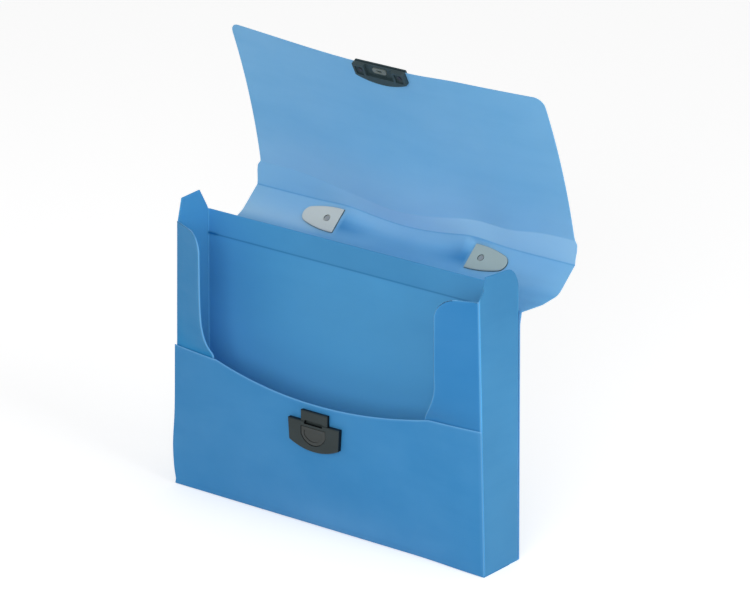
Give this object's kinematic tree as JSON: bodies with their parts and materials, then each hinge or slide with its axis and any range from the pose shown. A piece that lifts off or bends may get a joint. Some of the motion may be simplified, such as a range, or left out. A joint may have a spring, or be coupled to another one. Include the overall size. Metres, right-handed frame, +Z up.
{
  "type": "document case with handle",
  "caption": "Free-standing plastic document case with a folding cover, side ears, dust flaps, a push-button lock and a hinged carrying handle, shown open.",
  "frame": {"origin": "centre of the box's underside, on the surface that it stands on", "axes": "+Z up, +Y towards the back where the cover is hinged, +X to the right seen from the front"},
  "size_m": [0.332, 0.1376, 0.3893],
  "materials": {
    "shell": "satin translucent sheet",
    "cover": "satin translucent sheet",
    "lock": "satin moulded plastic",
    "tongue": "satin moulded plastic",
    "handle_plate": "satin moulded plastic",
    "handle": "satin moulded plastic",
    "steel": "bright"
  },
  "bodies": {
    "tray": {"bottom_panel": "shell", "inner_bottom_panel": "shell", "front_panel": "shell", "left_front_flange": "shell", "right_front_flange": "shell", "inner_back_panel": "shell", "outer_back_panel": "shell", "left_gusset": "shell", "right_gusset": "shell", "lock_base": "lock", "lock_back_plate": "lock", "lock_rivets": "steel"},
    "left_flap": {"left_dust_flap": "shell"},
    "right_flap": {"right_dust_flap": "shell"},
    "rear": {"rear_strip": "cover"},
    "corner": {"corner_strip": "cover"},
    "band": {"handle_band": "cover", "left_inner_plate": "handle_plate", "right_inner_plate": "handle_plate", "left_handle_foot": "handle", "right_handle_foot": "handle", "handle_pins": "steel", "handle_rivets": "steel"},
    "front": {"front_strip": "cover"},
    "cover": {"cover_panel": "cover", "catch_housing": "lock", "catch_tongue": "tongue", "catch_outer_plate": "lock", "catch_rivets": "steel"},
    "handle": {"handle_grip": "handle"},
    "button": {"lock_button": "lock"}
  },
  "joints": [
    {"name": "cover_hinge", "type": "hinge", "parent": "tray", "child": "rear", "pos_m": [0, 0.0234, 0.217], "axis": [1, 0, 0], "range_deg": [0, 92.5]},
    {"name": "fold_1_turn", "type": "hinge", "parent": "rear", "child": "corner", "pos_m": [0, 0.05338, 0.21561], "axis": [1, 0, 0], "range_deg": [0, 31.51]},
    {"name": "fold_2_turn", "type": "hinge", "parent": "corner", "child": "band", "pos_m": [0, 0.07098, 0.21935], "axis": [1, 0, 0], "range_deg": [0, 18.01]},
    {"name": "fold_3_turn", "type": "hinge", "parent": "band", "child": "front", "pos_m": [0, 0.09287, 0.23837], "axis": [1, 0, 0], "range_deg": [0, 23.01]},
    {"name": "fold_4_turn", "type": "hinge", "parent": "front", "child": "cover", "pos_m": [0, 0.09501, 0.25876], "axis": [1, 0, 0], "range_deg": [-12.91, 0]},
    {"name": "left_flap_turn", "type": "hinge", "parent": "tray", "child": "left_flap", "pos_m": [-0.1636, -0.0211, 0], "axis": [0.0315, 0, 0.9995], "range_deg": [0, 25.01]},
    {"name": "right_flap_turn", "type": "hinge", "parent": "tray", "child": "right_flap", "pos_m": [0.1636, -0.0211, 0], "axis": [-0.0315, 0, 0.9995], "range_deg": [-25.01, 0]},
    {"name": "handle_swing", "type": "hinge", "parent": "band", "child": "handle", "pos_m": [0, 0.08754, 0.22088], "axis": [1, 0, 0], "range_deg": [-47, 129]},
    {"name": "button_press", "type": "slide", "parent": "tray", "child": "button", "axis": [0, 1, 0], "range_m": [0, 0.0015], "stiffness_N_per_m": 300, "springref_m": -0.0005}
  ],
  "couplings": [
    {"joint": "fold_1_turn", "follows": "cover_hinge", "ratio": 0.34054},
    {"joint": "fold_2_turn", "follows": "cover_hinge", "ratio": 0.19459},
    {"joint": "fold_3_turn", "follows": "cover_hinge", "ratio": 0.24865},
    {"joint": "fold_4_turn", "follows": "cover_hinge", "ratio": -0.13946},
    {"joint": "left_flap_turn", "follows": "cover_hinge", "ratio": 0.27027},
    {"joint": "right_flap_turn", "follows": "cover_hinge", "ratio": -0.27027}
  ]
}
